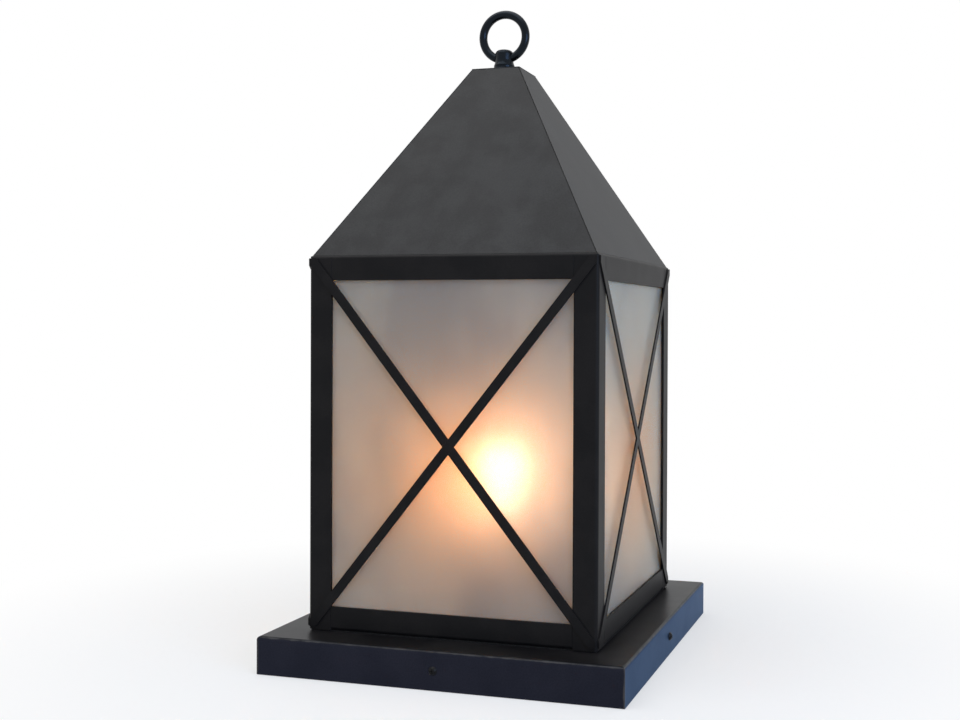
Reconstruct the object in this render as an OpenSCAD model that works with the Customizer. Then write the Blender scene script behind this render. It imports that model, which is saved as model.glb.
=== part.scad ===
// Square pier lantern: a folded base pan, an X-braced frame of folded angle with
// four frosted panes, a hipped sheet roof and a ring finial that clamps the roof down.
// Millimetres. Origin at the centre of the base's underside, front towards -Y, +Z up.

/* [Base] */
// Side of the square base pan
base_w = 381; // [360:1:400]
// Height of the base pan
base_h = 38.1; // [36:0.1:44]
// Sheet thickness of the base pan
base_t = 1.6; // [1.2:0.1:2]
// Outside radius of the pan's folded edges
base_bend = 3.2; // [2.6:0.1:4]
// Distance between neighbouring anchor holes in the mounting plate
anchor_pitch = 152.4; // [130:0.1:160]
// Diameter of each anchor hole
anchor_d = 8; // [6:0.5:9]
// Diameter of the wire holes in the mounting plate and the base pan
wire_hole_d = 44; // [30:1:46]

/* [Lantern body] */
// Width of the body over the posts
body_w = 306.8; // [300:0.1:310]
// Height of the body from the foot of the posts to their tops
body_h = 381; // [370:1:390]
// Width of each leg of the corner posts
post_leg = 24.9; // [22:0.1:28]
// Height of the bottom rails
bottom_rail_h = 23.9; // [22:0.1:28]
// Height of the top rails
top_rail_h = 25.5; // [22:0.1:28]
// Thickness of the folded posts and rails
frame_t = 3; // [2.6:0.1:3.2]
// Outside radius of the folded posts and rails
frame_bend = 3.6; // [3.4:0.1:5]
// Width of the crossed brace bars
brace_w = 9.5; // [8:0.1:11]
// Thickness of the crossed brace bars
brace_t = 1.6; // [1.2:0.1:3]
// Thickness of the frosted panes
glass_t = 3; // [2.5:0.1:3.2]

/* [Roof and finial] */
// Width of the roof at the eaves
eave_w = 301.8; // [299:0.1:303]
// Width of the flat at the top of the roof
roof_flat_w = 53.8; // [48:0.1:58]
// Height of the roof from the eaves to the flat
roof_h = 209.2; // [200:0.1:215]
// Sheet thickness of the roof
roof_t = 1.2; // [1:0.1:1.4]
// Radius of the finial ring at the middle of its wire
ring_r = 24.8; // [23:0.1:26]
// Diameter of the finial's wire
ring_wire_d = 9; // [8:0.1:9.6]
// Diameter of the finial's barrel
barrel_d = 22.8; // [21:0.1:24]
// Height of the finial's barrel
barrel_h = 18.4; // [18:0.1:20]

/* [Lamp] */
// Height of the middle of the bulb's globe above the ground
bulb_z = 194; // [190:1:200]
// Diameter of the bulb's globe
bulb_d = 60; // [58:1:62]

/* [Hidden] */
$fn = 48;
e = 0.01; // overcut of every hole past its faces

base_half = base_w/2;
body_half = body_w/2;
eave_half = eave_w/2;
flat_half = roof_flat_w/2;

// Heights of the stack, from the ground up
gasket_t = 1.6;
body_z = base_h + gasket_t;
eave_z = body_z + body_h;
body_mid_z = body_z + body_h/2;
roof_z = eave_z + roof_h;
seat_h = 6.2;
barrel_z = roof_z + seat_h;
ring_z = barrel_z + 33;

// Folded flanges of the rails and the room that the panes take behind them
flange_inner = body_half - post_leg;
glass_outer = body_half - frame_bend;
glass_inner = glass_outer - glass_t;
glass_half = glass_inner - 0.8;
glass_bottom = body_z + frame_t;
glass_top = eave_z - frame_t - 0.4;

// Skirt screws: round heads halfway up each skirt
side_screw_z = base_h/2;
side_screw_r = 2.1;

// Screws that hold the body down to the base
frame_screw_x = 100;
frame_screw_u = body_half - 16.4;

// Clips that keep the panes against the frame
clip_x = 50;
clip_w = 12;
clip_t = 0.8;
clip_h = 10.6;
clip_foot = 11;

// Roof panel section
roof_run = eave_half - flat_half;
roof_slope = atan(roof_h/roof_run);
sheet_run = roof_t/sin(roof_slope);
lip_gap = 0.6;
lip_depth = 2.4;
lip_outer = flange_inner - lip_gap;
hip_rise = atan(roof_h/(roof_run*sqrt(2)));
hip_len = sqrt(2*roof_run*roof_run + roof_h*roof_h);
hip_groove_w = 1.1;
hip_groove_d = 0.8;
hip_fold = acos(sin(roof_slope)/sqrt(2)); // between a panel and the upright plane through its hip
top_plate_half = flat_half + 0.4;

// Threaded rod from the crossbar to the finial
rod_r = 3.1;
rod_foot_z = eave_z - 17;
rod_head_z = barrel_z + 12.6;
thread_fit = 0.05; // radial clearance of a threaded fit
bar_t = 3;
bar_w = 25;
bar_z = eave_z - frame_t - bar_t;
bar_half = glass_inner - 1.8;
bar_screw_x = body_half - 18.4;

// Lamp stack, downwards from the bulb
bulb_tip_z = bulb_z - 78;
bulb_len = 108;
socket_r = 19.5;
socket_z = bulb_tip_z - 13;
socket_h = 43;
hub_r = 8.5;
hub_h = 8;
nipple_r = 4.85;
nipple_bore_r = 3.4;
bracket_top_z = socket_z - hub_h - 3;
bracket_t = 2;
bracket_w = 30;
bracket_half = 26;
bracket_foot = 22;
foot_screw_x = bracket_half + 12;

// Turns something made for the front face to the side: 0 front, 1 right, 2 back, 3 left
module on_side(side) {
    rotate(90*side) children();
}

module on_all_sides() {
    for (side = [0:3]) on_side(side) children();
}

// A bend: the quarter ring that joins two legs of a folded sheet, outside corner at the origin
module bend_2d(outside_r, t) {
    translate([outside_r, outside_r]) intersection() {
        difference() {
            circle(outside_r);
            circle(outside_r - t);
        }
        translate([-outside_r, -outside_r]) square(outside_r);
    }
}

// Folded angle in section: one leg along +X, one along +Y, outside corner at the origin
module angle_2d(leg_x, leg_y, t, outside_r) {
    translate([outside_r, 0]) square([leg_x - outside_r, t]);
    translate([0, outside_r]) square([t, leg_y - outside_r]);
    bend_2d(outside_r, t);
}

// Raises a section drawn in (outward distance, height) and runs it along the front face
module run_along_front(length) {
    translate([-length/2, 0, 0]) rotate([90, 0, 90]) mirror([1, 0, 0])
        linear_extrude(length) children();
}

// Round-head screw: head above z = 0, shank below it, cross recess in the head
module round_head_screw(shank_r, shank_len, head_r, head_h) {
    recess_w = shank_r*0.38;
    recess_len = head_r*1.15;
    ball_r = (head_r*head_r + head_h*head_h)/(2*head_h);
    difference() {
        rotate_extrude() intersection() {
            translate([0, head_h - ball_r]) circle(ball_r);
            square([head_r, head_h]);
        }
        for (a = [0, 90])
            rotate(a) translate([-recess_len/2, -recess_w/2, head_h*0.5])
                cube([recess_len, recess_w, head_h]);
    }
    translate([0, 0, -shank_len]) cylinder(r = shank_r, h = shank_len + head_h*0.3);
}

module hex_nut(across_flats, height, bore_r) {
    difference() {
        cylinder(r = across_flats/2/cos(30), h = height, $fn = 6);
        translate([0, 0, -e]) cylinder(r = bore_r, h = height + 2*e);
    }
}

// Pan with folded edges: two rounded sections crossed, so that the bends mitre at the corners
module pan_block(half, height, bend) {
    module section_2d() {
        translate([-half, -e]) square([2*half, height - bend + e]);
        translate([bend - half, 0]) square([2*(half - bend), height]);
        for (s = [-1, 1])
            translate([s*(half - bend), height - bend]) circle(bend);
    }
    intersection() {
        translate([0, half + e, 0]) rotate([90, 0, 0]) linear_extrude(2*half + 2*e) section_2d();
        translate([-half - e, 0, 0]) rotate([90, 0, 90]) linear_extrude(2*half + 2*e) section_2d();
        translate([-half, -half, 0]) cube([2*half, 2*half, height]);
    }
}

// Base: the plate on the pier, with four tabs that take the skirt screws
plate_t = 3;
tab_outer = base_half - base_t - 0.3;
tab_h = 28;
tab_w = 50;
plate_half = 100;
plate_corner = 18;

module mounting_plate() {
    color("gainsboro") difference() {
        union() {
            linear_extrude(plate_t) difference() {
                square(2*plate_half, center = true);
                for (a = [0:90:270])
                    rotate(a) translate([plate_half, plate_half]) rotate(45)
                        square(plate_corner*sqrt(2), center = true);
            }
            on_all_sides()
                translate([-tab_w/2, -tab_outer, 0]) rotate([90, 0, 90])
                    linear_extrude(tab_w)
                        angle_2d(tab_outer - plate_half + 5, tab_h, plate_t, plate_t + 1.4);
        }
        translate([0, 0, -e]) cylinder(d = wire_hole_d, h = plate_t + 2*e);
        for (x = [-1, 1], y = [-1, 1])
            translate([x*anchor_pitch/2, y*anchor_pitch/2, -e])
                cylinder(d = anchor_d, h = plate_t + 2*e);
        on_all_sides()
            translate([0, -tab_outer - 1, side_screw_z]) rotate([-90, 0, 0])
                cylinder(r = side_screw_r + thread_fit, h = plate_t + 2);
        ground_place(-e) cylinder(r = ground_r + thread_fit, h = plate_t + 2*e);
    }
}

ground_r = 2.4;
module ground_place(z) {
    translate([0, 56, z]) children();
}

module ground_screw() {
    color("seagreen") ground_place(plate_t) {
        cylinder(r = 6.2, h = 1);
        difference() {
            translate([0, 0, 0.9]) cylinder(r = 4.6, h = 3.2, $fn = 6);
            translate([-5, -0.6, 2.8]) cube([10, 1.2, 2]);
        }
        translate([0, 0, -plate_t + 0.2]) cylinder(r = ground_r, h = plate_t);
    }
}

module base_pan() {
    color("dimgray") difference() {
        pan_block(base_half, base_h, base_bend);
        translate([0, 0, -e]) pan_block(base_half - base_t, base_h - base_t + e, base_bend - base_t);
        translate([0, 0, base_h - 5]) cylinder(d = wire_hole_d, h = 10);
        on_all_sides() {
            translate([0, -base_half - 1, side_screw_z]) rotate([-90, 0, 0])
                cylinder(r = side_screw_r + 0.3, h = base_t + 2);
            for (x = [-1, 1])
                translate([x*frame_screw_x, -frame_screw_u, base_h - 5])
                    cylinder(r = frame_screw_r + 0.3, h = 10);
        }
        for (x = [-1, 1])
            translate([x*foot_screw_x, 0, base_h - 5]) cylinder(r = foot_screw_r + 0.2, h = 10);
    }
}

module base_side_screws() {
    color("black") on_all_sides()
        translate([0, -base_half, side_screw_z]) rotate([90, 0, 0])
            round_head_screw(side_screw_r, 9, 4.5, 2.8);
}

module body_gasket() {
    color("black") translate([0, 0, base_h]) difference() {
        linear_extrude(gasket_t) difference() {
            square(2*(body_half - 2), center = true);
            square(2*(flange_inner + 2), center = true);
        }
        on_all_sides() for (x = [-1, 1])
            translate([x*frame_screw_x, -frame_screw_u, -e])
                cylinder(r = frame_screw_r + 0.3, h = gasket_t + 2*e);
    }
}

// Frame: four folded posts at full height, with the rails butted flush between them. The posts' tops
// are ground to the rails' bend, and each butted joint shows as a fine V between post and rail.
seam_w = 0.5;

module top_grinding() {
    run_along_front(body_w + 2) translate([body_half, eave_z]) rotate(180) difference() {
        translate([-1, -1]) square(frame_bend + 1);
        translate([frame_bend, frame_bend]) circle(frame_bend);
    }
}

module seam_cut(x, z, h) {
    translate([x, -body_half, z]) rotate(45)
        translate([-seam_w/2, -seam_w/2, 0]) cube([seam_w, seam_w, h]);
}

module seams(x) {
    seam_cut(x, body_z - 1, bottom_rail_h + 1);
    seam_cut(x, eave_z - top_rail_h, top_rail_h + 1);
}

module corner_post(side) {
    color("dimgray") on_side(side) difference() {
        translate([-body_half, -body_half, body_z]) linear_extrude(body_h)
            angle_2d(post_leg, post_leg, frame_t, frame_bend);
        top_grinding();
        on_side(3) top_grinding();
        seams(-flange_inner);
        on_side(3) seams(flange_inner);
    }
}

frame_screw_r = 2.1;
nut_flats = 8.7;
nut_h = 3.2;

module bottom_rail(side) {
    color("dimgray") on_side(side) difference() {
        run_along_front(2*flange_inner)
            translate([body_half, body_z]) mirror([1, 0])
                angle_2d(post_leg, bottom_rail_h, frame_t, frame_bend);
        seams(-flange_inner);
        seams(flange_inner);
        for (x = [-1, 1])
            translate([x*frame_screw_x, -frame_screw_u, body_z - 1])
                cylinder(r = frame_screw_r + 0.2, h = frame_t + 2);
    }
}

module top_rail(side) {
    color("dimgray") on_side(side) difference() {
        run_along_front(2*flange_inner)
            translate([body_half, eave_z]) rotate(180)
                angle_2d(post_leg, top_rail_h, frame_t, frame_bend);
        seams(-flange_inner);
        seams(flange_inner);
        if (side % 2 == 1)
            for (y = [-1, 1])
                translate([y*bar_w/4, -bar_screw_x, eave_z - frame_t - 1])
                    cylinder(r = bar_screw_r + thread_fit, h = frame_t + 2);
    }
}

module frame_screws() {
    shank = base_t + gasket_t + frame_t + nut_h + 1;
    color("silver") on_all_sides() for (x = [-1, 1])
        translate([x*frame_screw_x, -frame_screw_u, base_h - base_t]) rotate([180, 0, 0])
            round_head_screw(frame_screw_r, shank, 4, 2.4);
}

module frame_nuts() {
    color("silver") on_all_sides() for (x = [-1, 1])
        translate([x*frame_screw_x, -frame_screw_u, body_z + frame_t])
            hex_nut(nut_flats, nut_h, frame_screw_r + thread_fit);
}

// Braces: flat bars from corner to corner on each face, half-lapped where they cross, with their
// ends trimmed just inside the frame's outer edges
brace_trim_side = 1.8;
brace_trim_end = 2.8;
brace_angle = atan(body_h/body_w);
brace_reach = 2*sqrt(body_half*body_half + body_h*body_h/4) + 4*brace_w;

module brace_2d(turn, w) {
    intersection() {
        square([body_w - 2*brace_trim_side, body_h - 2*brace_trim_end], center = true);
        rotate(turn*brace_angle) square([brace_reach, w], center = true);
    }
}

module brace(side, turn) {
    lap_fit = 0.1;
    lap_z = turn > 0 ? -e : brace_t/2 - lap_fit/2;
    color("dimgray") on_side(side)
        translate([0, -body_half, body_mid_z]) rotate([90, 0, 0]) difference() {
            linear_extrude(brace_t) brace_2d(turn, brace_w);
            translate([0, 0, lap_z]) linear_extrude(brace_t/2 + lap_fit/2 + e)
                brace_2d(-turn, brace_w + lap_fit);
        }
}

// Panes stand on the bottom flanges behind the frame, kept there by sixteen sprung clips
module glass(side) {
    color("white", 0.6) on_side(side)
        translate([-glass_half, -glass_outer, glass_bottom])
            cube([2*glass_half, glass_t, glass_top - glass_bottom]);
}

module clip() {
    translate([-clip_w/2, 0, 0]) rotate([90, 0, 90])
        linear_extrude(clip_w) angle_2d(clip_foot, clip_h, clip_t, clip_t + 0.8);
}

module glass_clips() {
    color("silver") on_all_sides() for (x = [-1, 1]) {
        translate([x*clip_x, -glass_inner, glass_bottom]) clip();
        translate([x*clip_x, -glass_inner, eave_z - frame_t]) mirror([0, 0, 1]) clip();
    }
}

// Roof: four mitred sheet panels, each folded in at the eaves and down into the frame
function roof_u(z) = eave_half - (z - eave_z)*roof_run/roof_h;

module roof_section_2d() {
    panel_top = roof_z - roof_t;
    flange_top = eave_z + roof_t;
    polygon([
        [eave_half, eave_z],
        [roof_u(panel_top), panel_top],
        [roof_u(panel_top) - sheet_run, panel_top],
        [roof_u(flange_top) - sheet_run, flange_top],
        [lip_outer - roof_t, flange_top],
        [lip_outer - roof_t, eave_z - lip_depth],
        [lip_outer, eave_z - lip_depth],
        [lip_outer, eave_z]
    ]);
}

// The open line along a hip, sunk in the front or back panel beside the side panel's cut edge
module hip_groove(turn) {
    translate([turn*eave_half, -eave_half, eave_z]) rotate(turn*45 + 90)
        rotate([0, -hip_rise, 0]) mirror([0, turn < 0 ? 1 : 0, 0]) rotate([hip_fold - 90, 0, 0])
            translate([-10, -1, -hip_groove_d])
                cube([hip_len + 20, hip_groove_w + 1, 2]);
}

module roof_panel(side) {
    color("gray") on_side(side) difference() {
        intersection() {
            run_along_front(eave_w) roof_section_2d();
            translate([0, 0, eave_z - 5]) linear_extrude(roof_h + 10)
                polygon([[0, 0], [-eave_w, -eave_w], [eave_w, -eave_w]]);
        }
        if (side % 2 == 0) {
            hip_groove(1);
            hip_groove(-1);
        }
    }
}

module roof_top_plate() {
    color("gray") translate([0, 0, roof_z - roof_t]) difference() {
        linear_extrude(roof_t) square(2*top_plate_half, center = true);
        translate([0, 0, -e]) cylinder(r = rod_r + 0.9, h = roof_t + 2*e);
    }
}

// Crossbar under the side rails, with the rod that the finial is screwed to
bar_screw_r = 2;

module roof_crossbar() {
    color("silver") translate([0, 0, bar_z]) difference() {
        translate([-bar_half, -bar_w/2, 0]) cube([2*bar_half, bar_w, bar_t]);
        translate([0, 0, -e]) cylinder(r = rod_r + 0.2, h = bar_t + 2*e);
        for (x = [-1, 1], y = [-1, 1])
            translate([x*bar_screw_x, y*bar_w/4, -e]) cylinder(r = bar_screw_r + 0.2, h = bar_t + 2*e);
    }
}

module crossbar_screws() {
    color("silver") for (x = [-1, 1], y = [-1, 1])
        translate([x*bar_screw_x, y*bar_w/4, bar_z]) rotate([180, 0, 0])
            round_head_screw(bar_screw_r, bar_t + frame_t - 0.4, 3.8, 2.2);
}

module roof_rod() {
    tip = 0.8;
    color("silver") {
        translate([0, 0, rod_foot_z]) cylinder(r = rod_r, h = rod_head_z - tip - rod_foot_z);
        translate([0, 0, rod_head_z - tip]) cylinder(r1 = rod_r, r2 = rod_r - tip, h = tip);
    }
}

module rod_nuts() {
    flats = 11.1;
    height = 5.5;
    color("silver") for (z = [bar_z - height, bar_z + bar_t])
        translate([0, 0, z]) hex_nut(flats, height, rod_r + thread_fit);
}

// Finial: a turned seat with a hollow flare, and a ring cast in one piece with its barrel
seat_r = 15.6;
seat_neck_r = 11.6;
seat_rim = 1;

module finial_seat() {
    flare = seat_r - seat_neck_r;
    color("dimgray") translate([0, 0, roof_z]) rotate_extrude() difference() {
        translate([rod_r + 0.3, 0]) square([seat_r - rod_r - 0.3, seat_h]);
        translate([seat_r, seat_rim + flare]) circle(flare);
        translate([seat_neck_r, seat_rim + flare]) square([flare + 1, seat_h]);
        translate([seat_r - 0.6, seat_rim]) square([1, flare]);
    }
}

module ring_finial() {
    crown_r = 4.6;
    barrel_r = barrel_d/2;
    bore_h = 14.1;
    color("dimgray") difference() {
        union() {
            translate([0, 0, ring_z]) rotate([90, 0, 0]) rotate_extrude($fn = 72)
                translate([ring_r, 0]) circle(d = ring_wire_d);
            translate([0, 0, barrel_z]) rotate_extrude() {
                square([barrel_r - crown_r, barrel_h]);
                square([barrel_r, barrel_h - crown_r]);
                translate([barrel_r - crown_r, barrel_h - crown_r]) intersection() {
                    circle(crown_r);
                    square(crown_r);
                }
            }
        }
        translate([0, 0, barrel_z - e]) cylinder(r = rod_r + thread_fit, h = bore_h + e);
        translate([0, 0, barrel_z - e]) cylinder(r1 = rod_r + 1, r2 = rod_r, h = 1);
    }
}

// Lamp: a bent bracket over the wire hole, a threaded nipple, a screw socket and the bulb
foot_screw_r = 2.1;

module lamp_bracket() {
    rise = bracket_top_z - base_h;
    bend = bracket_t + 1.5;
    color("silver") difference() {
        translate([0, bracket_w/2, base_h]) rotate([90, 0, 0]) linear_extrude(bracket_w)
            for (s = [-1, 1]) scale([s, 1]) bracket_half_2d(rise, bend);
        translate([0, 0, bracket_top_z - 5]) cylinder(r = nipple_r + 0.3, h = 10);
        for (x = [-1, 1])
            translate([x*foot_screw_x, 0, base_h - 1]) cylinder(r = foot_screw_r + 0.2, h = 5);
    }
}

// Half of the bracket's folded section: top, leg and foot
module bracket_half_2d(rise, bend) {
    translate([0, rise - bracket_t]) square([bracket_half - bend, bracket_t]);
    translate([bracket_half, rise]) rotate(180) bend_2d(bend, bracket_t);
    translate([bracket_half - bracket_t, bend]) square([bracket_t, rise - 2*bend]);
    translate([bracket_half - bracket_t, 0]) bend_2d(bend, bracket_t);
    translate([bracket_half - bracket_t + bend, 0])
        square([bracket_foot + bracket_t - bend, bracket_t]);
}

module bracket_screws() {
    color("silver") for (x = [-1, 1])
        translate([x*foot_screw_x, 0, base_h + bracket_t])
            round_head_screw(foot_screw_r, bracket_t + base_t + nut_h + 1, 4, 2.4);
}

module bracket_nuts() {
    color("silver") for (x = [-1, 1])
        translate([x*foot_screw_x, 0, base_h - base_t - nut_h])
            hex_nut(nut_flats, nut_h, foot_screw_r + thread_fit);
}

nipple_nut_h = 3;
nipple_foot_z = bracket_top_z - bracket_t - nipple_nut_h - 5;

module lamp_nipple() {
    color("silver") translate([0, 0, nipple_foot_z]) difference() {
        cylinder(r = nipple_r, h = socket_z - 1 - nipple_foot_z);
        translate([0, 0, -e]) cylinder(r = nipple_bore_r, h = socket_z - nipple_foot_z);
    }
}

module nipple_nuts() {
    flats = 14.3;
    color("silver") for (z = [bracket_top_z - bracket_t - nipple_nut_h, bracket_top_z])
        translate([0, 0, z]) hex_nut(flats, nipple_nut_h, nipple_r + thread_fit);
}

shell_r = 14.2;
shell_t = 0.5;
socket_floor = 9;

terminal_cut = 4;
terminal_len = 3.2;
terminal_r = 1.6;
terminal_z = 4.5;

module socket_body() {
    color("ivory") translate([0, 0, socket_z]) difference() {
        union() {
            cylinder(r = socket_r, h = socket_h);
            translate([0, 0, -hub_h]) cylinder(r = hub_r, h = hub_h + e);
        }
        translate([0, 0, socket_floor]) cylinder(r = shell_r + 0.1, h = socket_h);
        translate([0, 0, -hub_h - e]) cylinder(r = nipple_r + thread_fit, h = hub_h + 2*e);
        cylinder(r = nipple_bore_r, h = 6);
        for (a = [0, 180]) rotate(a) {
            translate([socket_r - terminal_cut, -5, 1]) cube([10, 10, 7]);
            translate([socket_r - terminal_cut - terminal_len, 0, terminal_z]) rotate([0, 90, 0])
                cylinder(r = terminal_r + thread_fit, h = terminal_len + 1);
        }
    }
}

module socket_shell() {
    color("goldenrod") translate([0, 0, socket_z + socket_floor]) difference() {
        cylinder(r = shell_r, h = socket_h - socket_floor - 2);
        translate([0, 0, shell_t]) cylinder(r = shell_r - shell_t, h = socket_h);
        translate([0, 0, -e]) cylinder(r = 6, h = 1);
    }
}

module socket_contact() {
    contact_z = socket_z + socket_floor;
    color("goldenrod") translate([0, 0, contact_z]) cylinder(r = 3, h = bulb_tip_z - contact_z);
}

module socket_terminals() {
    color("goldenrod") for (a = [0, 180])
        rotate(a) translate([socket_r - terminal_cut, 0, socket_z + terminal_z]) rotate([0, 90, 0])
            round_head_screw(terminal_r, terminal_len - 0.2, 3.2, 1.8);
}

// One sealed lamp: contact, threaded cap, neck and globe in a single profile
cap_r = 13;
cap_h = 25;
function bezier(a, b, c, d, t) = (1 - t)^3*a + 3*(1 - t)^2*t*b + 3*(1 - t)*t^2*c + t^3*d;

module bulb() {
    globe_r = bulb_d/2;
    globe_h = bulb_len - globe_r;
    leave = -38;
    neck = [cap_r - 0.4, cap_h];
    joined = [globe_r*cos(leave), globe_h + globe_r*sin(leave)];
    pull = globe_r*0.55;
    neck_pts = [for (i = [0:8])
        bezier(neck, neck + [0.6, 9], joined - pull*[-sin(leave), cos(leave)], joined, i/8)];
    globe_pts = [for (a = [leave + 8:8:82]) [globe_r*cos(a), globe_h + globe_r*sin(a)]];
    cap_pts = [for (i = [0:5], s = [0, 1]) [cap_r - 0.8 + 0.8*s, 6 + i*3.2 + s*1.6]];
    color("lightyellow") translate([0, 0, bulb_tip_z]) rotate_extrude()
        polygon(concat([[0, 0], [4.2, 0], [5, 2], [11.2, 5]], cap_pts, neck_pts, globe_pts,
            [[0, globe_h + globe_r]]));
}

mounting_plate();
ground_screw();
base_pan();
base_side_screws();
body_gasket();
corner_post(0);  // corner_post_front_left
corner_post(1);  // corner_post_front_right
corner_post(2);  // corner_post_back_right
corner_post(3);  // corner_post_back_left
bottom_rail(0);  // bottom_rail_front
bottom_rail(1);  // bottom_rail_right
bottom_rail(2);  // bottom_rail_back
bottom_rail(3);  // bottom_rail_left
top_rail(0);  // top_rail_front
top_rail(1);  // top_rail_right
top_rail(2);  // top_rail_back
top_rail(3);  // top_rail_left
frame_screws();
frame_nuts();
brace(0, 1);  // rising_brace_front
brace(1, 1);  // rising_brace_right
brace(2, 1);  // rising_brace_back
brace(3, 1);  // rising_brace_left
brace(0, -1);  // falling_brace_front
brace(1, -1);  // falling_brace_right
brace(2, -1);  // falling_brace_back
brace(3, -1);  // falling_brace_left
glass(0);  // glass_front
glass(1);  // glass_right
glass(2);  // glass_back
glass(3);  // glass_left
glass_clips();
roof_panel(0);  // roof_panel_front
roof_panel(1);  // roof_panel_right
roof_panel(2);  // roof_panel_back
roof_panel(3);  // roof_panel_left
roof_top_plate();
roof_crossbar();
crossbar_screws();
roof_rod();
rod_nuts();
finial_seat();
ring_finial();
lamp_bracket();
bracket_screws();
bracket_nuts();
lamp_nipple();
nipple_nuts();
socket_body();
socket_shell();
socket_contact();
socket_terminals();
bulb();
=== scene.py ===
"""Square pier lantern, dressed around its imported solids: paint, glass, bright metal and a lit bulb.
Metres. Origin at the centre of the base's underside, front towards -Y, +Z up."""

import math

import bpy
import numpy as np
from mathutils import Matrix, Vector


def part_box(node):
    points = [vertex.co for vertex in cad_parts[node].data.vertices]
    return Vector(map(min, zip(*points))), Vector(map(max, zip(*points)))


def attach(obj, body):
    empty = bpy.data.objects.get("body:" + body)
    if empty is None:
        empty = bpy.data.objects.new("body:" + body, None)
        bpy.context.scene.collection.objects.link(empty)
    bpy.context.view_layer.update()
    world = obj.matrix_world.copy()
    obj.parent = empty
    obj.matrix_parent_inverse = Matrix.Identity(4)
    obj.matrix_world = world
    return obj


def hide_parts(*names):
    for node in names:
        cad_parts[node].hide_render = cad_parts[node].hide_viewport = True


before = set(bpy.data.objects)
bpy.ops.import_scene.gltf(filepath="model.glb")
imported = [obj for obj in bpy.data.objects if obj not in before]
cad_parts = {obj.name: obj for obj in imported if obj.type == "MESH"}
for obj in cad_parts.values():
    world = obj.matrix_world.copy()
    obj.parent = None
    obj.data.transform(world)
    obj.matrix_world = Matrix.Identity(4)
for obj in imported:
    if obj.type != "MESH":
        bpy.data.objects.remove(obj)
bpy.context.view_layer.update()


# Mounting plate: a square of galvanised sheet, bolted to the top of the pier, with four turned-up tabs.
# Hot dipping leaves flat crystals of zinc a few millimetres wide, each a little lighter or darker.
SPANGLE_SIZE = 0.007
ZINC_LIGHT = (0.62, 0.63, 0.63, 1)
ZINC_DARK = (0.40, 0.41, 0.42, 1)
WHITE_RUST = (0.70, 0.70, 0.68, 1)


def add(tree, kind, sockets=None, **settings):
    """One new node. settings are set on the node; sockets gives each input, by name or number, a plain
    value or the output of another node."""
    node = tree.nodes.new(kind)
    for name, value in settings.items():
        setattr(node, name, value)
    for name, value in (sockets or {}).items():
        if isinstance(value, bpy.types.NodeSocket):
            tree.links.new(value, node.inputs[name])
        else:
            node.inputs[name].default_value = value
    return node


def own_place(tree):
    """The place on the piece, in metres in the lantern's own frame."""
    return add(tree, "ShaderNodeTexCoord").outputs["Object"]


def maths(tree, operation, first, second=0.0, third=0.0):
    return add(tree, "ShaderNodeMath", {0: first, 1: second, 2: third}, operation=operation).outputs[0]


def between(tree, value, low, high, at_low=0.0, at_high=1.0):
    """value from low to high, eased onto at_low to at_high and held there beyond."""
    limits = {"Value": value, "From Min": low, "From Max": high, "To Min": at_low, "To Max": at_high}
    return add(tree, "ShaderNodeMapRange", limits, interpolation_type="SMOOTHSTEP").outputs["Result"]


def mix_colours(tree, mask, under, over, how="MIX"):
    """under where mask is 0, and over, or what how makes of the two, where it is 1."""
    mixed = add(tree, "ShaderNodeMix", {0: mask, 6: under, 7: over}, data_type="RGBA", blend_type=how)
    return mixed.outputs[2]


def tinted(tree, colour, tint):
    """colour times tint, channel by channel."""
    return mix_colours(tree, 1, colour, tint, "MULTIPLY")


def noise(tree, size, detail=3.0, stretch=(1, 1, 1)):
    """Noise in 0 to 1 with lumps about size metres across, drawn out along an axis by its stretch."""
    place = add(tree, "ShaderNodeMapping", {"Vector": own_place(tree), "Scale": [1/s for s in stretch]})
    settings = {"Vector": place.outputs[0], "Scale": maths(tree, "DIVIDE", 1.0, size), "Detail": detail}
    return add(tree, "ShaderNodeTexNoise", settings).outputs[0]


def new_material(name, **plain):
    """A material, its tree and its shader. plain gives the shader's own sockets, with _ for each space."""
    material = bpy.data.materials.new(name)
    material.use_nodes = True
    shader = material.node_tree.nodes["Principled BSDF"]
    for socket, value in plain.items():
        shader.inputs[socket.replace("_", " ")].default_value = value
    return material, material.node_tree, shader


def drive(tree, shader, **sockets):
    """Feeds the shader's sockets, with _ for each space, from other nodes."""
    for socket, source in sockets.items():
        tree.links.new(source, shader.inputs[socket.replace("_", " ")])


def raise_surface(tree, shader, height, depth, strength=1.0):
    """Bumps the shader's surface by height, 0 to 1, over depth metres."""
    bump = add(tree, "ShaderNodeBump", {"Height": height, "Distance": depth, "Strength": strength})
    drive(tree, shader, Normal=bump.outputs[0])


def finish(material, *names):
    """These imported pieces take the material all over."""
    for name in names:
        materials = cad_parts[name].data.materials
        materials.clear()
        materials.append(material)


galvanised, tree, shader = new_material("galvanised_plate")
crystals = add(tree, "ShaderNodeTexVoronoi", {"Vector": own_place(tree), "Scale": 1/SPANGLE_SIZE})
crystal_tone = add(tree, "ShaderNodeSeparateColor", {0: crystals.outputs["Color"]}).outputs[0]
bloom = between(tree, noise(tree, 0.03, 5), 0.58, 0.72)
zinc_colour = mix_colours(tree, crystal_tone, ZINC_DARK, ZINC_LIGHT)
drive(tree, shader, Base_Color=mix_colours(tree, bloom, zinc_colour, WHITE_RUST),
      Roughness=maths(tree, "MULTIPLY_ADD", crystal_tone, 0.15, 0.34),
      Metallic=between(tree, bloom, 0, 1, 1, 0.6))
raise_surface(tree, shader, crystal_tone, 0.00004)
finish(galvanised, "mounting_plate")


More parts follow.
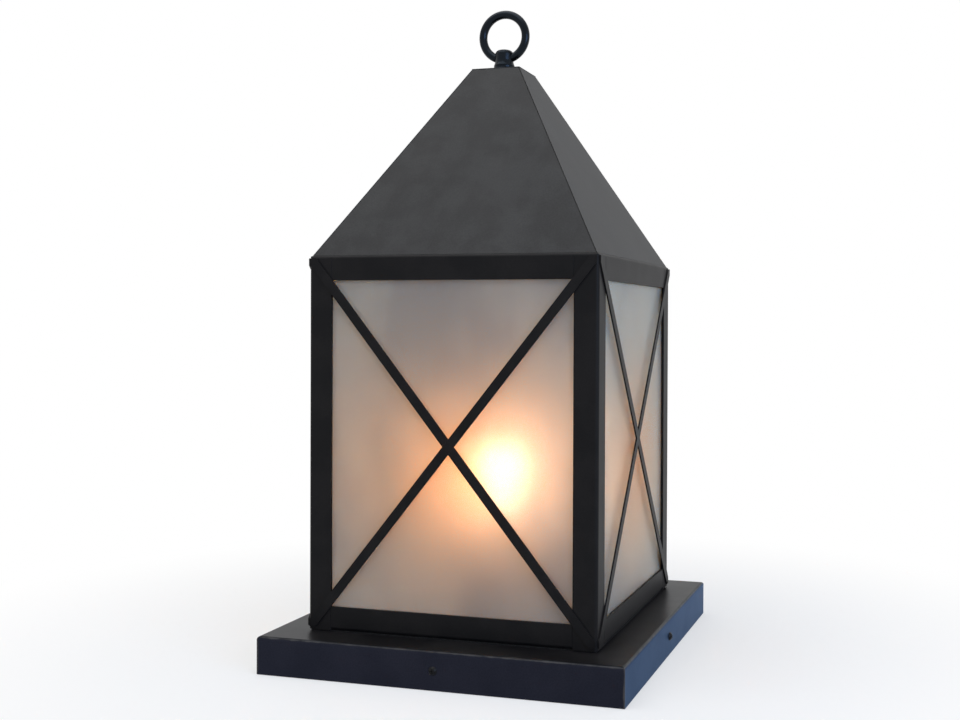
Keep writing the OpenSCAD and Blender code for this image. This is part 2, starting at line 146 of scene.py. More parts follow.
# Paint on the steel: sprayed on and baked, satin, with the faint lumps of a sprayed coat and patches that
# took a little more or less of it. The green ground screw on the plate is the first piece that wears it.
GRAIN_SIZE = 0.0016
SPRAY_LUMP_SIZE = 0.005
PATCH_ROUGHNESS = 0.03


def new_group(name, takes, gives):
    """A shader group's tree, its inputs and its outputs. takes gives each input a kind and a usual value."""
    tree = bpy.data.node_groups.new(name, "ShaderNodeTree")
    for socket, (kind, value) in takes.items():
        made = tree.interface.new_socket(name=socket, in_out="INPUT", socket_type="NodeSocket" + kind)
        made.default_value = value
    for socket, kind in gives.items():
        tree.interface.new_socket(name=socket, in_out="OUTPUT", socket_type="NodeSocket" + kind)
    return tree, tree.nodes.new("NodeGroupInput").outputs, tree.nodes.new("NodeGroupOutput").inputs


sprayed_paint, taken, given = new_group(
    "sprayed_paint",
    {"Colour": ("Color", (0.02, 0.02, 0.02, 1)), "Patch colour": ("Color", (0.03, 0.03, 0.03, 1)),
     "Patch size": ("Float", 0.05), "Satin": ("Float", 0.45), "Grain": ("Float", 0.25)},
    {"Colour": "Color", "Roughness": "Float", "Height": "Float"})
patches = between(sprayed_paint, noise(sprayed_paint, taken["Patch size"], 5), 0.36, 0.64)
fine_grain = noise(sprayed_paint, GRAIN_SIZE, 2)
spray_lumps = noise(sprayed_paint, SPRAY_LUMP_SIZE, 2)
patchy = mix_colours(sprayed_paint, patches, taken["Colour"], taken["Patch colour"])
grain_offset = maths(sprayed_paint, "SUBTRACT", fine_grain, 0.5)
grain_shade = maths(sprayed_paint, "MULTIPLY_ADD", grain_offset, taken["Grain"], 1)
grain_grey = add(sprayed_paint, "ShaderNodeCombineColor", {0: grain_shade, 1: grain_shade, 2: grain_shade})
low_grain = maths(sprayed_paint, "MULTIPLY", fine_grain, 0.4)
for output, source in {
        "Colour": tinted(sprayed_paint, patchy, grain_grey.outputs[0]),
        "Roughness": maths(sprayed_paint, "MULTIPLY_ADD", patches, PATCH_ROUGHNESS, taken["Satin"]),
        "Height": maths(sprayed_paint, "MULTIPLY_ADD", spray_lumps, 0.6, low_grain),
}.items():
    sprayed_paint.links.new(source, given[output])


def painted(name, colour, patch_colour, patch_size, satin, grain, lumps, **plain):
    """A painted material, its tree, its shader and the paint group's outputs. patch_size, and lumps, which is
    the depth of the coat's bumps, are in metres."""
    material, tree, shader = new_material(name, **plain)
    values = {"Colour": colour, "Patch colour": patch_colour, "Patch size": patch_size, "Satin": satin,
              "Grain": grain}
    paint = add(tree, "ShaderNodeGroup", node_tree=sprayed_paint)
    for socket, value in values.items():
        paint.inputs[socket].default_value = value
    drive(tree, shader, Base_Color=paint.outputs["Colour"], Roughness=paint.outputs["Roughness"])
    raise_surface(tree, shader, paint.outputs["Height"], lumps)
    return material, tree, shader, paint.outputs


GROUND_GREEN = (0.02, 0.20, 0.07, 1)
GROUND_GREEN_PATCHES = (0.03, 0.26, 0.10, 1)
green_paint, *_ = painted("green_ground_screw", GROUND_GREEN, GROUND_GREEN_PATCHES,
                          patch_size=0.004, satin=0.35, grain=0.2, lumps=0.00003)
finish(green_paint, "ground_screw")


# Base pan: one sheet of steel folded down on four sides and welded at its corners, under dark paint.
# The coat is thin and rubbed along the folded edges, with a little dust on top. The paint's blue cast and the
# skirts' metallic blue sheen are painted reflection, and the top's darker, browner tone is painted shade.
BASE_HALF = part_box("base_pan")[1].x
BASE_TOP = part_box("base_pan")[1].z
BASE_PAINT = (0.016, 0.0175, 0.027, 1)
BASE_PATCHES = (0.019, 0.0205, 0.031, 1)
BLUE_REFLECTION_PAINTED = (0.57, 0.72, 1.0, 1)
TOP_SHADE_PAINTED = (0.50, 0.43, 0.30, 1)
RUBBED_BAND = 0.0018
RUBBED_PAINT = (0.085, 0.082, 0.080, 1)
RUBBED_SHARE = 0.6
RUB_BREAKS = 0.012
DUST = (0.16, 0.15, 0.14, 1)
DRIFT_SIZE = 0.05

rubbed_edges, taken, given = new_group(
    "rubbed_edges", {"Half width": ("Float", 0.15), "Top": ("Float", 0.0), "Band": ("Float", 0.004)},
    {"Mask": "Float"})
corner = add(rubbed_edges, "ShaderNodeSeparateXYZ", {0: own_place(rubbed_edges)}).outputs
in_x, in_y = (
    maths(rubbed_edges, "SUBTRACT", taken["Half width"], maths(rubbed_edges, "ABSOLUTE", corner[axis]))
    for axis in ("X", "Y"))
in_z = maths(rubbed_edges, "SUBTRACT", taken["Top"], corner["Z"])
upright_edge = maths(rubbed_edges, "MAXIMUM", in_x, in_y)
top_edge = maths(rubbed_edges, "MAXIMUM", maths(rubbed_edges, "MINIMUM", in_x, in_y), in_z)
nearest_edge = maths(rubbed_edges, "MINIMUM", upright_edge, top_edge)
to_edge = maths(rubbed_edges, "DIVIDE", nearest_edge, taken["Band"])
broken = maths(rubbed_edges, "MULTIPLY_ADD", noise(rubbed_edges, RUB_BREAKS, 4), 1.6, -0.8)
rubbed_edges.links.new(
    between(rubbed_edges, maths(rubbed_edges, "ADD", to_edge, broken), 0.35, 1.1, 1, 0), given["Mask"])


def upwards(tree):
    """1 where the surface faces up, 0 where it is upright and -1 where it faces down."""
    normal = add(tree, "ShaderNodeNewGeometry").outputs["Normal"]
    return add(tree, "ShaderNodeSeparateXYZ", {0: normal}).outputs["Z"]


settled_dust, taken, given = new_group("settled_dust", {"Amount": ("Float", 0.3)}, {"Mask": "Float"})
up_facing = between(settled_dust, upwards(settled_dust), 0.35, 0.95)
drifts = between(settled_dust, noise(settled_dust, DRIFT_SIZE, 6), 0.35, 0.75)
drifted = maths(settled_dust, "MULTIPLY", up_facing, drifts)
settled_dust.links.new(maths(settled_dust, "MULTIPLY", drifted, taken["Amount"]), given["Mask"])


def weather(tree, shader, paint, half, top, band, dust):
    """Rubs the painted edges of a square piece of that half width and top, and lays dust on what faces up."""
    rub = add(tree, "ShaderNodeGroup", node_tree=rubbed_edges)
    for socket, value in {"Half width": half, "Top": top, "Band": band}.items():
        rub.inputs[socket].default_value = value
    fallen = add(tree, "ShaderNodeGroup", {"Amount": dust}, node_tree=settled_dust)
    rubbed = maths(tree, "MULTIPLY", rub.outputs[0], RUBBED_SHARE)
    worn = mix_colours(tree, rubbed, paint["Colour"], RUBBED_PAINT)
    drive(tree, shader, Base_Color=mix_colours(tree, fallen.outputs[0], worn, DUST))


base_paint, tree, shader, paint = painted(
    "base_paint", BASE_PAINT, BASE_PATCHES, patch_size=0.045, satin=0.345, grain=0.5, lumps=0.00003,
    Specular_IOR_Level=0.10, Specular_Tint=BLUE_REFLECTION_PAINTED)
# Painted light: upright faces turn metallic, so their blue-tinted paint makes a painted blue reflection, and
# the top is tinted darker and browner as painted shade.
is_top = between(tree, upwards(tree), 0.3, 0.8)
drive(tree, shader, Metallic=maths(tree, "SUBTRACT", 1.0, is_top))
shaded_top_tone = tinted(tree, paint["Colour"], TOP_SHADE_PAINTED)
paint = {"Colour": mix_colours(tree, is_top, paint["Colour"], shaded_top_tone)}
weather(tree, shader, paint, BASE_HALF, BASE_TOP, RUBBED_BAND, dust=0.05)
finish(base_paint, "base_pan")


# Skirt screws: four round-head machine screws, one through the middle of each side into the plate's tab.
# They are steel, painted black.
SCREW_BLACK = (0.007, 0.007, 0.008, 1)
SCREW_BLACK_PATCHES = (0.012, 0.012, 0.012, 1)
black_paint, *_ = painted("black_screws", SCREW_BLACK, SCREW_BLACK_PATCHES,
                          patch_size=0.003, satin=0.28, grain=0.3, lumps=0.00002, Specular_IOR_Level=0.12)
finish(black_paint, "base_side_screws")


# Gasket: a square of closed-cell rubber strip, squeezed between the pan and the body to keep rain out.
# It shows as a thin dull line under the bottom rails.
PORE_SIZE = 0.0012
PORE_BLACK = (0.008, 0.008, 0.008, 1)
RUBBER_BLACK = (0.022, 0.021, 0.020, 1)
rubber, tree, shader = new_material("gasket_rubber", Roughness=0.85, Specular_IOR_Level=0.2)
pores = between(tree, noise(tree, PORE_SIZE, 2), 0.38, 0.55)
drive(tree, shader, Base_Color=mix_colours(tree, pores, PORE_BLACK, RUBBER_BLACK))
raise_surface(tree, shader, pores, 0.0003)
finish(rubber, "body_gasket")


# Frame: four posts and eight rails, each folded from sheet, soldered edge to edge and painted dark bronze.
# It takes the same spray as the base, browner, and only the sharpest line of each fold is rubbed.
BODY_HALF = -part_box("corner_post_front_left")[0].x
BODY_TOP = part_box("corner_post_front_left")[1].z
FRAME_PAINT = (0.0085, 0.0082, 0.0088, 1)
FRAME_PATCHES = (0.0130, 0.0120, 0.0122, 1)
FRAME_RUBBED_BAND = 0.0006
SIDES = ("front", "right", "back", "left")
POSTS = ("front_left", "front_right", "back_right", "back_left")

frame_paint, tree, shader, paint = painted(
    "frame_paint", FRAME_PAINT, FRAME_PATCHES, patch_size=0.035, satin=0.455, grain=0.5, lumps=0.000006,
    Specular_IOR_Level=0.10)
weather(tree, shader, paint, BODY_HALF, BODY_TOP, FRAME_RUBBED_BAND, dust=0.03)
finish(frame_paint, *(f"corner_post_{post}" for post in POSTS),
       *(f"{rail}_rail_{side}" for rail in ("top", "bottom") for side in SIDES))


# Bright hardware: machine screws, nuts, bracket, crossbar and clips in zinc plate, under the base or behind
# the panes. Handling has left fine scratches, and the plating is a little yellow in patches.
PLATE_BRIGHT = (0.66, 0.65, 0.62, 1)
PLATE_YELLOW = (0.58, 0.53, 0.42, 1)
STAIN_SIZE = 0.012

handled_metal, taken, given = new_group(
    "handled_metal", {"Scratch size": ("Float", 0.0006), "Smooth": ("Float", 0.3)},
    {"Scratches": "Float", "Stain": "Float", "Roughness": "Float"})
scratches = noise(handled_metal, taken["Scratch size"], 3, (1, 12, 12))
stain = between(handled_metal, noise(handled_metal, STAIN_SIZE, 4), 0.42, 0.68)
rough_scratches = maths(handled_metal, "MULTIPLY_ADD", scratches, 0.22, taken["Smooth"])
for output, source in {"Scratches": scratches, "Stain": stain, "Roughness": rough_scratches}.items():
    handled_metal.links.new(source, given[output])


def bare_metal(name, colour, stained, smooth, depth):
    """A bare or plated metal with stains, and scratches of depth metres. smooth is its least roughness."""
    material, tree, shader = new_material(name, Metallic=1.0)
    marks = add(tree, "ShaderNodeGroup", {"Smooth": smooth}, node_tree=handled_metal).outputs
    drive(tree, shader, Base_Color=mix_colours(tree, marks["Stain"], colour, stained),
          Roughness=marks["Roughness"])
    raise_surface(tree, shader, marks["Scratches"], depth)
    return material


zinc_plate = bare_metal("zinc_hardware", PLATE_BRIGHT, PLATE_YELLOW, smooth=0.22, depth=0.00002)
finish(zinc_plate, "frame_screws", "frame_nuts")


# Braces: two flat bars on each face, corner to corner, half-lapped where they cross and soldered to the
# frame. They wear the frame's paint, in smaller patches.
brace_paint, *_ = painted(
    "brace_paint", FRAME_PAINT, FRAME_PATCHES, patch_size=0.02, satin=0.435, grain=0.5, lumps=0.000012,
    Specular_IOR_Level=0.10)
finish(brace_paint, *(f"{turn}_brace_{side}" for turn in ("rising", "falling") for side in SIDES))


# Panes: four sheets of white translucent glass, smooth outside and acid-frosted inside, with faint clouds
# and drawn streaks down the sheet. The frost is a fine stipple: its smoother points show the bulb as a soft
# bluish-white ball, and its rough ones spread a warm halo. Over that lies a painted glow, a warm emission
# that falls as the cosine to the fourth of the angle from the bulb, and the sheet is tinted warmer near the
# bulb as painted light and cooler where it is seen aslant as a painted reflection.
BULB_CENTRE_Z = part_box("bulb")[1].z - 0.030
PANE_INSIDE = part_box("glass_right")[0].x
CLOUD_SIZE = 0.11
STREAK_SIZE = 0.02
CLEAR_TONE = (0.66, 0.67, 0.63, 1)
CLOUD_TONE = (0.48, 0.49, 0.48, 1)
PAINTED_GLOW = (1.0, 0.44, 0.10, 1)
STIPPLE_SIZE = 0.00022
SMOOTH_POINTS = 0.33
ROUGH_POINTS = 1.0
SMOOTH_TINT = (0.72, 1.16, 1.50, 1)
ROUGH_TINT = (1.20, 0.80, 0.44, 1)
FAR_TINT = (0.93, 1.00, 1.06, 1)
BULB_WARMTH_PAINTED = (1.10, 0.88, 0.68, 1)
STRAIGHT_TINT = (1.03, 0.99, 1.02, 1)
ASLANT_REFLECTION_PAINTED = (0.85, 1.03, 1.16, 1)

frosted, tree, shader = new_material(
    "frosted_pane", Roughness=0.38, IOR=1.45, Transmission_Weight=0.6, Coat_Weight=0.1, Coat_Roughness=0.03,
    Emission_Strength=0.10)
clouds = between(tree, noise(tree, CLOUD_SIZE, 3, (1, 1, 1.6)), 0.40, 0.66)
streaks = noise(tree, STREAK_SIZE, 4, (1, 1, 9))
from_bulb = add(tree, "ShaderNodeVectorMath", {0: own_place(tree), 1: (0, 0, BULB_CENTRE_Z)},
                operation="DISTANCE")
near_bulb = maths(tree, "POWER", maths(tree, "DIVIDE", PANE_INSIDE, from_bulb.outputs["Value"]), 4)
clouds_left = maths(tree, "MULTIPLY", clouds, maths(tree, "SUBTRACT", 1.05, near_bulb))
haze = maths(tree, "MULTIPLY_ADD", streaks, 0.25, clouds_left)
aslant = add(tree, "ShaderNodeLayerWeight", {"Blend": 0.5}).outputs["Facing"]
# Painted glow: a warm emission round the bulb, standing for its light spread through the frost, less where
# seen aslant.
painted_glow_share = maths(tree, "MULTIPLY", near_bulb, maths(tree, "SUBTRACT", 1.0, aslant))
painted_glow = mix_colours(tree, painted_glow_share, (0, 0, 0, 1), PAINTED_GLOW)
stipple = between(tree, noise(tree, STIPPLE_SIZE, 1), 0.46, 0.52)
pane_tone = mix_colours(tree, haze, CLEAR_TONE, CLOUD_TONE)
stipple_tint = mix_colours(tree, stipple, SMOOTH_TINT, ROUGH_TINT)
# Painted light: the sheet's colour is warmer near the bulb.
bulb_warmth_painted_tint = mix_colours(tree, near_bulb, FAR_TINT, BULB_WARMTH_PAINTED)
# Painted reflection: the sheet's colour turns cooler where it is seen aslant.
painted_aslant_tint = mix_colours(tree, aslant, STRAIGHT_TINT, ASLANT_REFLECTION_PAINTED)
light_tint = tinted(tree, tinted(tree, stipple_tint, bulb_warmth_painted_tint), painted_aslant_tint)
roughness = maths(tree, "MULTIPLY_ADD", stipple, ROUGH_POINTS - SMOOTH_POINTS, SMOOTH_POINTS)
drive(tree, shader, Roughness=roughness, Base_Color=tinted(tree, pane_tone, light_tint),
      Emission_Color=mix_colours(tree, maths(tree, "MULTIPLY", haze, 0.2), painted_glow, (0, 0, 0, 1)))
raise_surface(tree, shader, maths(tree, "ADD", clouds, streaks), 0.0002, 0.3)
finish(frosted, *(f"glass_{side}" for side in SIDES))
finish(zinc_plate, "glass_clips")


# Lamp holder: a strap bracket screwed over the wire hole, and a threaded nipple that carries the socket.
# The nipple is turned steel tube with a fine thread from end to end.
NIPPLE_PITCH = 0.00094
NIPPLE_THREAD = 0.00045
NIPPLE_BORE_R = 0.0034
NIPPLE_AROUND = 32


def turns(count):
    """The angles of count equal steps round a full turn."""
    return 2*math.pi*np.arange(count)/count


def threaded(z, angle, crest, depth, pitch):
    """A V thread's radius: crest, less depth times a triangle wave of height over pitch less angle over a
    full turn."""
    return crest - depth*np.abs(2*((z/pitch - angle/(2*math.pi)) % 1) - 1)


def skin(name, material, points, hollow, body):
    """A piece whose surface is a grid of points. Each row is a closed ring, joined to the row above it. The
    last row of a hollow piece joins its first, and a solid piece has a flat face at each end."""
    index = np.arange(points[..., 0].size).reshape(points.shape[:2])
    lower, upper = (index, np.roll(index, -1, 0)) if hollow else (index[:-1], index[1:])
    walls = np.stack([lower, np.roll(lower, -1, 1), np.roll(upper, -1, 1), upper], -1).reshape(-1, 4)
    ends = [] if hollow else [index[0, ::-1].tolist(), index[-1].tolist()]
    mesh = bpy.data.meshes.new(name)
    mesh.from_pydata(points.reshape(-1, 3).tolist(), [], walls.tolist() + ends)
    mesh.shade_smooth()
    mesh.set_sharp_from_angle(angle=math.radians(38))
    mesh.materials.append(material)
    made = bpy.data.objects.new(name, mesh)
    bpy.context.scene.collection.objects.link(made)
    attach(made, body)
    return made


def lathe(name, material, radius, height, around, hollow=False, body="lantern"):
    """A turned form. The point in row i and column j is (r cos a, r sin a, z), where a is j turns over
    around, and r and z are given for each row, or for each row and column. Rows go up the outside."""
    angle = turns(around)
    radius, height = (np.asarray(given, float).reshape(len(given), -1) for given in (radius, height))
    radius, height = radius*np.ones(around), height*np.ones(around)
    points = np.stack([radius*np.cos(angle), radius*np.sin(angle), height], -1)
    return skin(name, material, points, hollow, body)


nipple_low, nipple_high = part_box("lamp_nipple")
nipple_rows = int(6*(nipple_high.z - nipple_low.z)/NIPPLE_PITCH)
wall_z = np.linspace(nipple_low.z, nipple_high.z, nipple_rows)[:, None]
outer_wall = threaded(wall_z, turns(NIPPLE_AROUND), nipple_high.x, NIPPLE_THREAD, NIPPLE_PITCH)
bore = np.full((2, NIPPLE_AROUND), NIPPLE_BORE_R)
nipple = lathe("threaded_nipple", zinc_plate, np.vstack([outer_wall, bore]),
               np.vstack([wall_z, [[nipple_high.z], [nipple_low.z]]]), NIPPLE_AROUND, hollow=True)
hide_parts("lamp_nipple")
finish(zinc_plate, "lamp_bracket", "bracket_screws", "bracket_nuts", "nipple_nuts")


# Lamp socket: a body of white glazed porcelain that holds a rolled brass screw shell, a sprung brass
# contact in its floor, and two brass terminal screws.
GLAZE_WHITE = (0.84, 0.82, 0.77, 1)
GLAZE_CREAM = (0.78, 0.75, 0.69, 1)
SPECK_BROWN = (0.35, 0.26, 0.18, 1)
BRASS_BRIGHT = (0.72, 0.50, 0.20, 1)
BRASS_DULL = (0.44, 0.29, 0.13, 1)

glaze, tree, shader = new_material(
    "white_glaze", Roughness=0.25, Coat_Weight=0.8, Coat_Roughness=0.05, Subsurface_Weight=0.05)
kiln_specks = between(tree, noise(tree, 0.0018, 2), 0.66, 0.74)
body_tone = mix_colours(tree, noise(tree, 0.02), GLAZE_WHITE, GLAZE_CREAM)
drive(tree, shader, Base_Color=mix_colours(tree, kiln_specks, body_tone, SPECK_BROWN))
raise_surface(tree, shader, noise(tree, 0.006, 2), 0.0001)
finish(glaze, "socket_body")

brass = bare_metal("rolled_brass", BRASS_BRIGHT, BRASS_DULL, smooth=0.24, depth=0.00002)
finish(brass, "socket_shell", "socket_contact", "socket_terminals")


# Bulb: a blown globe, frosted inside and lit warm, cemented into a rolled cap with a coarse round thread
# and a soldered tip. The globe meets its neck along a smooth curve. It is whitest where it faces the eye
# and orange round its rim, where the light has more glass to cross.
GLOBE_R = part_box("bulb")[1].x
TIP_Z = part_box("bulb")[0].z
CAP_TOP = TIP_Z + 0.025
CAP_R = 0.013
CAP_PITCH = 0.0032
CAP_THREAD = 0.0008
CAP_AROUND = 48
TIP_R = 0.0050
NECK_LEAVES = math.radians(-38)
NECK_PULL = (0.0006, 0.009)
GLOBE_PULL = 0.55
RIM_LIGHT = (0.60, 0.24, 0.05, 1)
MIDDLE_LIGHT = (1.0, 0.90, 0.86, 1)
BULB_WHITE = (0.90, 0.88, 0.82, 1)
BULB_CREAM = (0.84, 0.82, 0.76, 1)

lit_glass, tree, shader = new_material(
    "lit_bulb_glass", Roughness=0.3, Specular_IOR_Level=0.5, Coat_Weight=0.5, Coat_Roughness=0.05,
    Emission_Strength=78.0)
height = add(tree, "ShaderNodeSeparateXYZ", {0: own_place(tree)}).outputs["Z"]
lit = between(tree, height, CAP_TOP, CAP_TOP + 0.02, 0.25, 1)
hot = between(tree, noise(tree, 0.03), 0.2, 0.8, 0.94, 1.0)
turned_away = add(tree, "ShaderNodeLayerWeight", {"Blend": 0.5}).outputs["Facing"]
middle = maths(tree, "POWER", maths(tree, "SUBTRACT", 1.0, turned_away), 3)
lamp_colour = mix_colours(tree, middle, RIM_LIGHT, MIDDLE_LIGHT)
drive(tree, shader, Base_Color=mix_colours(tree, noise(tree, 0.004), BULB_WHITE, BULB_CREAM),
      Emission_Color=mix_colours(tree, maths(tree, "MULTIPLY", lit, hot), (0, 0, 0, 1), lamp_colour))

along = np.linspace(0, 1, 13)[:, None]
joined = np.array([GLOBE_R*math.cos(NECK_LEAVES), BULB_CENTRE_Z + GLOBE_R*math.sin(NECK_LEAVES)])
neck = np.array([CAP_R - 0.0004, CAP_TOP])
down_globe = -np.array([-math.sin(NECK_LEAVES), math.cos(NECK_LEAVES)])
pulls = (neck, neck + NECK_PULL, joined + GLOBE_PULL*GLOBE_R*down_globe, joined)
neck_curve = sum(math.comb(3, i)*along**i*(1 - along)**(3 - i)*pull for i, pull in enumerate(pulls))
globe_angle = np.linspace(NECK_LEAVES, math.radians(89.5), 44)[1:]
globe_curve = np.stack([GLOBE_R*np.cos(globe_angle), BULB_CENTRE_Z + GLOBE_R*np.sin(globe_angle)], 1)
glass_curve = np.vstack([neck_curve, globe_curve])
globe = lathe("bulb_globe", lit_glass, glass_curve[:, 0], glass_curve[:, 1], around=72)

cap_z = np.linspace(TIP_Z + 0.005, CAP_TOP, 84)[:, None]
round_thread = CAP_R - CAP_THREAD/2*(1 - np.cos(2*math.pi*cap_z/CAP_PITCH - turns(CAP_AROUND)))
lathe("bulb_cap", brass, np.vstack([np.full((1, CAP_AROUND), TIP_R), round_thread]),
      np.vstack([[[TIP_Z + 0.002]], cap_z]), CAP_AROUND)
tip_curve = np.array([[0.0042, 0.0], [TIP_R, 0.0006], [0.0052, 0.0014], [TIP_R, 0.0022]])
lathe("bulb_tip", brass, tip_curve[:, 0], TIP_Z + tip_curve[:, 1], around=32)
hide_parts("bulb")


# Roof: four panels of sheet, mitred at the hips and soldered from behind, with a flat plate at the top.
# Its paint is a lighter, greyer satin than the frame's, with a mottle and dust on the flat; part of that
# lightness is painted light, standing for the stronger light from above on the sloping panels.
ROOF_PAINT_TOP_LIT = (0.0310, 0.0300, 0.0292, 1)
ROOF_PATCHES_TOP_LIT = (0.0420, 0.0412, 0.0398, 1)

roof_paint, tree, shader, paint = painted(
    "roof_paint", ROOF_PAINT_TOP_LIT, ROOF_PATCHES_TOP_LIT, patch_size=0.03, satin=0.515, grain=0.6, lumps=0.000007,
    Specular_IOR_Level=0.15)
fallen = add(tree, "ShaderNodeGroup", {"Amount": 0.25}, node_tree=settled_dust)
drive(tree, shader, Base_Color=mix_colours(tree, fallen.outputs[0], paint["Colour"], DUST))
finish(roof_paint, *(f"roof_panel_{side}" for side in SIDES), "roof_top_plate")
finish(zinc_plate, "roof_crossbar", "crossbar_screws", "rod_nuts")


# Roof rod: quarter-inch threaded steel rod from the crossbar up into the finial, twenty turns to the inch.
# Its top end is chamfered by the last thread.
ROD_PITCH = 0.00127
ROD_THREAD = 0.00055
ROD_AROUND = 20
rod_low, rod_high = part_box("roof_rod")
rod_z = np.linspace(rod_low.z, rod_high.z, int(5*(rod_high.z - rod_low.z)/ROD_PITCH))[:, None]
rod_r = threaded(rod_z, turns(ROD_AROUND), rod_high.x, ROD_THREAD, ROD_PITCH)
chamfer = np.minimum(1, 0.72 + (rod_high.z - rod_z)/0.003)
rod = lathe("threaded_rod", zinc_plate, chamfer*rod_r, rod_z, ROD_AROUND)
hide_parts("roof_rod")


# Finial: a turned seat, and a ring cast in one piece with its barrel, smoother and blacker than the sheet.
# Its reflections are tinted blue, a painted blue reflection. The barrel has a domed crown and a blind bore
# for the rod, and widens in a hollow curve onto the seat.
WIRE_R = 0.0045
BARREL_R = 0.0100
BARREL_H = 0.0184
CROWN_R = 0.0046
BORE_R = 0.00325
BORE_H = 0.0141
FOOT_H = 0.0015
FOOT_CURVE_H = 0.0062
FINIAL_BLACK = (0.0025, 0.0026, 0.003, 1)
FINIAL_PATCHES = (0.005, 0.005, 0.0055, 1)
# A painted blue reflection: the finial's reflections are tinted blue.
FINIAL_BLUE_REFLECTION_PAINTED = (0.60, 0.78, 1.0, 1)

finial_paint, *_ = painted(
    "finial_paint", FINIAL_BLACK, FINIAL_PATCHES, patch_size=0.012, satin=0.20, grain=0.4, lumps=0.00004,
    Specular_IOR_Level=0.20, Specular_Tint=FINIAL_BLUE_REFLECTION_PAINTED)
finish(finial_paint, "finial_seat")

finial_low, finial_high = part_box("ring_finial")
foot_r = finial_high.y
ring_r = finial_high.x - WIRE_R
ring_z = finial_high.z - WIRE_R - ring_r
rise = np.linspace(0, 1, 13)
foot_curve = np.stack([BARREL_R + (foot_r - BARREL_R)*(1 - rise)**2, FOOT_H + FOOT_CURVE_H*rise], 1)
crown_angle = np.linspace(0, math.pi/2, 12)
crown_centre = np.array([BARREL_R - CROWN_R, BARREL_H - CROWN_R])
crown = crown_centre + CROWN_R*np.stack([np.cos(crown_angle), np.sin(crown_angle)], 1)
bore = [(BORE_R, BORE_H), (BORE_R, 0.0005), (BORE_R + 0.0005, 0)]
foot = [(foot_r - 0.0004, 0), (foot_r, 0.0004)]
barrel_curve = np.vstack([bore, foot, foot_curve, crown])
lathe("finial_barrel", finial_paint, barrel_curve[:, 0], finial_low.z + barrel_curve[:, 1],
      around=64, body="ring_finial")

# The ring is a torus: (ring_r + WIRE_R cos b) out along a in the XZ plane, and WIRE_R sin b across it.
around_ring = turns(96)[:, None]
around_wire = turns(28)
reach = ring_r + WIRE_R*np.cos(around_wire)
ring_points = np.stack([reach*np.cos(around_ring), WIRE_R*np.sin(around_wire)*np.ones_like(around_ring),
                        ring_z + reach*np.sin(around_ring)], -1)
ring = skin("finial_ring", finial_paint, ring_points[::-1], hollow=True, body="ring_finial")
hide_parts("ring_finial")


# Floor: a plain pale studio floor that keeps the shadow near the base and runs off into white. It gives the
# object less light than it shows, so that the dark paint stays dark.
FLOOR_REACH = 14.0
WHITENS_FROM = 0.27
WHITE_BY = 0.75
WHITE_AT_BASE = 0.5
FLOOR_SHOWN = (0.95, 0.95, 0.95, 1)
FLOOR_GIVEN = (0.35, 0.35, 0.36, 1)
WHITE = (1, 1, 1, 1)


def seen(tree):
    """1 for what the camera, a reflection or glass looks at, and 0 for light on its way to the object."""
    rays = add(tree, "ShaderNodeLightPath").outputs
    looked_at = maths(tree, "ADD", rays["Is Camera Ray"], rays["Is Glossy Ray"])
    return maths(tree, "MINIMUM", maths(tree, "ADD", looked_at, rays["Is Transmission Ray"]), 1)


floor_paint = bpy.data.materials.new("pale_floor")
floor_paint.use_nodes = True
tree = floor_paint.node_tree
tree.nodes.remove(tree.nodes["Principled BSDF"])
from_centre = add(tree, "ShaderNodeVectorMath", {0: own_place(tree)}, operation="LENGTH").outputs["Value"]
far = between(tree, from_centre, WHITENS_FROM, WHITE_BY, WHITE_AT_BASE, 1.0)
pale = add(tree, "ShaderNodeBsdfDiffuse", {"Color": FLOOR_SHOWN})
white = add(tree, "ShaderNodeEmission", {"Color": WHITE, "Strength": 1.0})
shown = add(tree, "ShaderNodeMixShader", {0: far, 1: pale.outputs[0], 2: white.outputs[0]})
giving = add(tree, "ShaderNodeBsdfDiffuse", {"Color": FLOOR_GIVEN})
floor_mix = add(tree, "ShaderNodeMixShader", {0: seen(tree), 1: giving.outputs[0], 2: shown.outputs[0]})
tree.links.new(floor_mix.outputs[0], tree.nodes["Material Output"].inputs["Surface"])

floor_mesh = bpy.data.meshes.new("studio_floor")
corners = FLOOR_REACH*np.array([[-1, -1, 0], [1, -1, 0], [1, 1, 0], [-1, 1, 0]])
floor_mesh.from_pydata((corners - [0, 0, 0.0005]).tolist(), [], [(0, 1, 2, 3)])
floor_mesh.materials.append(floor_paint)
floor = bpy.data.objects.new("studio_floor", floor_mesh)
bpy.context.scene.collection.objects.link(floor)


# Light: a soft pale room, a large cloth overhead and a little in front, and a cool window on the right in
# front, which lights the right-hand faces a little blue. Most of the blue on the skirts, the right-hand panes
# and the finial is painted reflection in their materials.
ROOM_COLOUR = (0.93, 0.96, 1.0, 1)
ROOM_STRENGTH = 0.45
WINDOW_COLOUR = (0.42, 0.62, 1.0)
world = bpy.data.worlds.new("studio_room")
world.use_nodes = True
bpy.context.scene.world = world
tree = world.node_tree
room = tree.nodes["Background"]
room.inputs["Color"].default_value = ROOM_COLOUR
room.inputs["Strength"].default_value = ROOM_STRENGTH
backdrop = add(tree, "ShaderNodeBackground", {"Color": WHITE, "Strength": 1.0})
room_mix = add(tree, "ShaderNodeMixShader", {0: seen(tree), 1: room.outputs[0], 2: backdrop.outputs[0]})
tree.links.new(room_mix.outputs[0], tree.nodes["World Output"].inputs["Surface"])


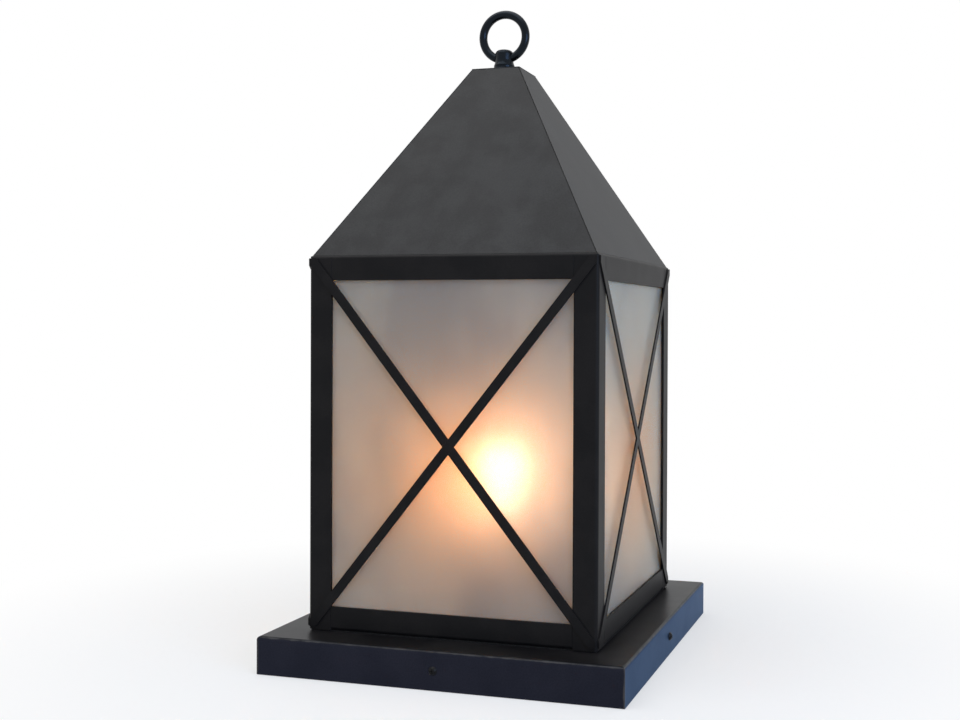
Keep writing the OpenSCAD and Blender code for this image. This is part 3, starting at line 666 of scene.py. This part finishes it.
def soft_light(name, place, aim, width, height, radiance, colour):
    """A rectangular cloth light. Its power is pi times radiance times its area, so radiance 1 looks white."""
    lamp = bpy.data.lights.new(name, "AREA")
    lamp.shape, lamp.size, lamp.size_y = "RECTANGLE", width, height
    lamp.energy, lamp.color = math.pi*radiance*width*height, colour
    made = bpy.data.objects.new(name, lamp)
    made.location = place
    made.rotation_euler = (Vector(aim) - Vector(place)).to_track_quat("-Z", "Y").to_euler()
    made.visible_camera = False
    bpy.context.scene.collection.objects.link(made)


soft_light("overhead_cloth", place=(-0.3, -0.5, 2.3), aim=(0, 0, 0.5), width=2.4, height=2.2, radiance=1.7,
           colour=WHITE[:3])
soft_light("right_window", place=(2.0, -1.3, 0.9), aim=(0, 0, 0.4), width=1.5, height=0.8, radiance=6.0,
           colour=WINDOW_COLOUR)


# Camera: fitted to the photograph's straight edges. It stands almost level with the middle of the body,
# 16 degrees round to the right, and the picture is cut from the left of a wider view.
FOCAL_PX = 1192.5
PICTURE_W = 960
PICTURE_H = 720
CENTRE_PX = (599.61, 335.33)
CAMERA_PLACE = (0.46267, -1.24374, 0.35181)
AZIMUTH, ELEVATION, ROLL = (math.radians(angle) for angle in (15.788, 0.521, 0.261))

back = Vector((math.sin(AZIMUTH)*math.cos(ELEVATION), -math.cos(AZIMUTH)*math.cos(ELEVATION),
               math.sin(ELEVATION)))
level_right = Vector((math.cos(AZIMUTH), math.sin(AZIMUTH), 0))
level_up = back.cross(level_right)
right = math.cos(ROLL)*level_right + math.sin(ROLL)*level_up
up = -math.sin(ROLL)*level_right + math.cos(ROLL)*level_up
lens = bpy.data.cameras.new("photo_view")
lens.sensor_width = 36
lens.lens = FOCAL_PX*lens.sensor_width/PICTURE_W
lens.shift_x = (PICTURE_W/2 - CENTRE_PX[0])/PICTURE_W
lens.shift_y = (CENTRE_PX[1] - PICTURE_H/2)/PICTURE_W
camera = bpy.data.objects.new("photo_view", lens)
camera.matrix_world = Matrix.Translation(CAMERA_PLACE) @ Matrix((right, up, back)).transposed().to_4x4()
bpy.context.scene.collection.objects.link(camera)
bpy.context.scene.camera = camera
bpy.context.scene.view_settings.view_transform = "Standard"
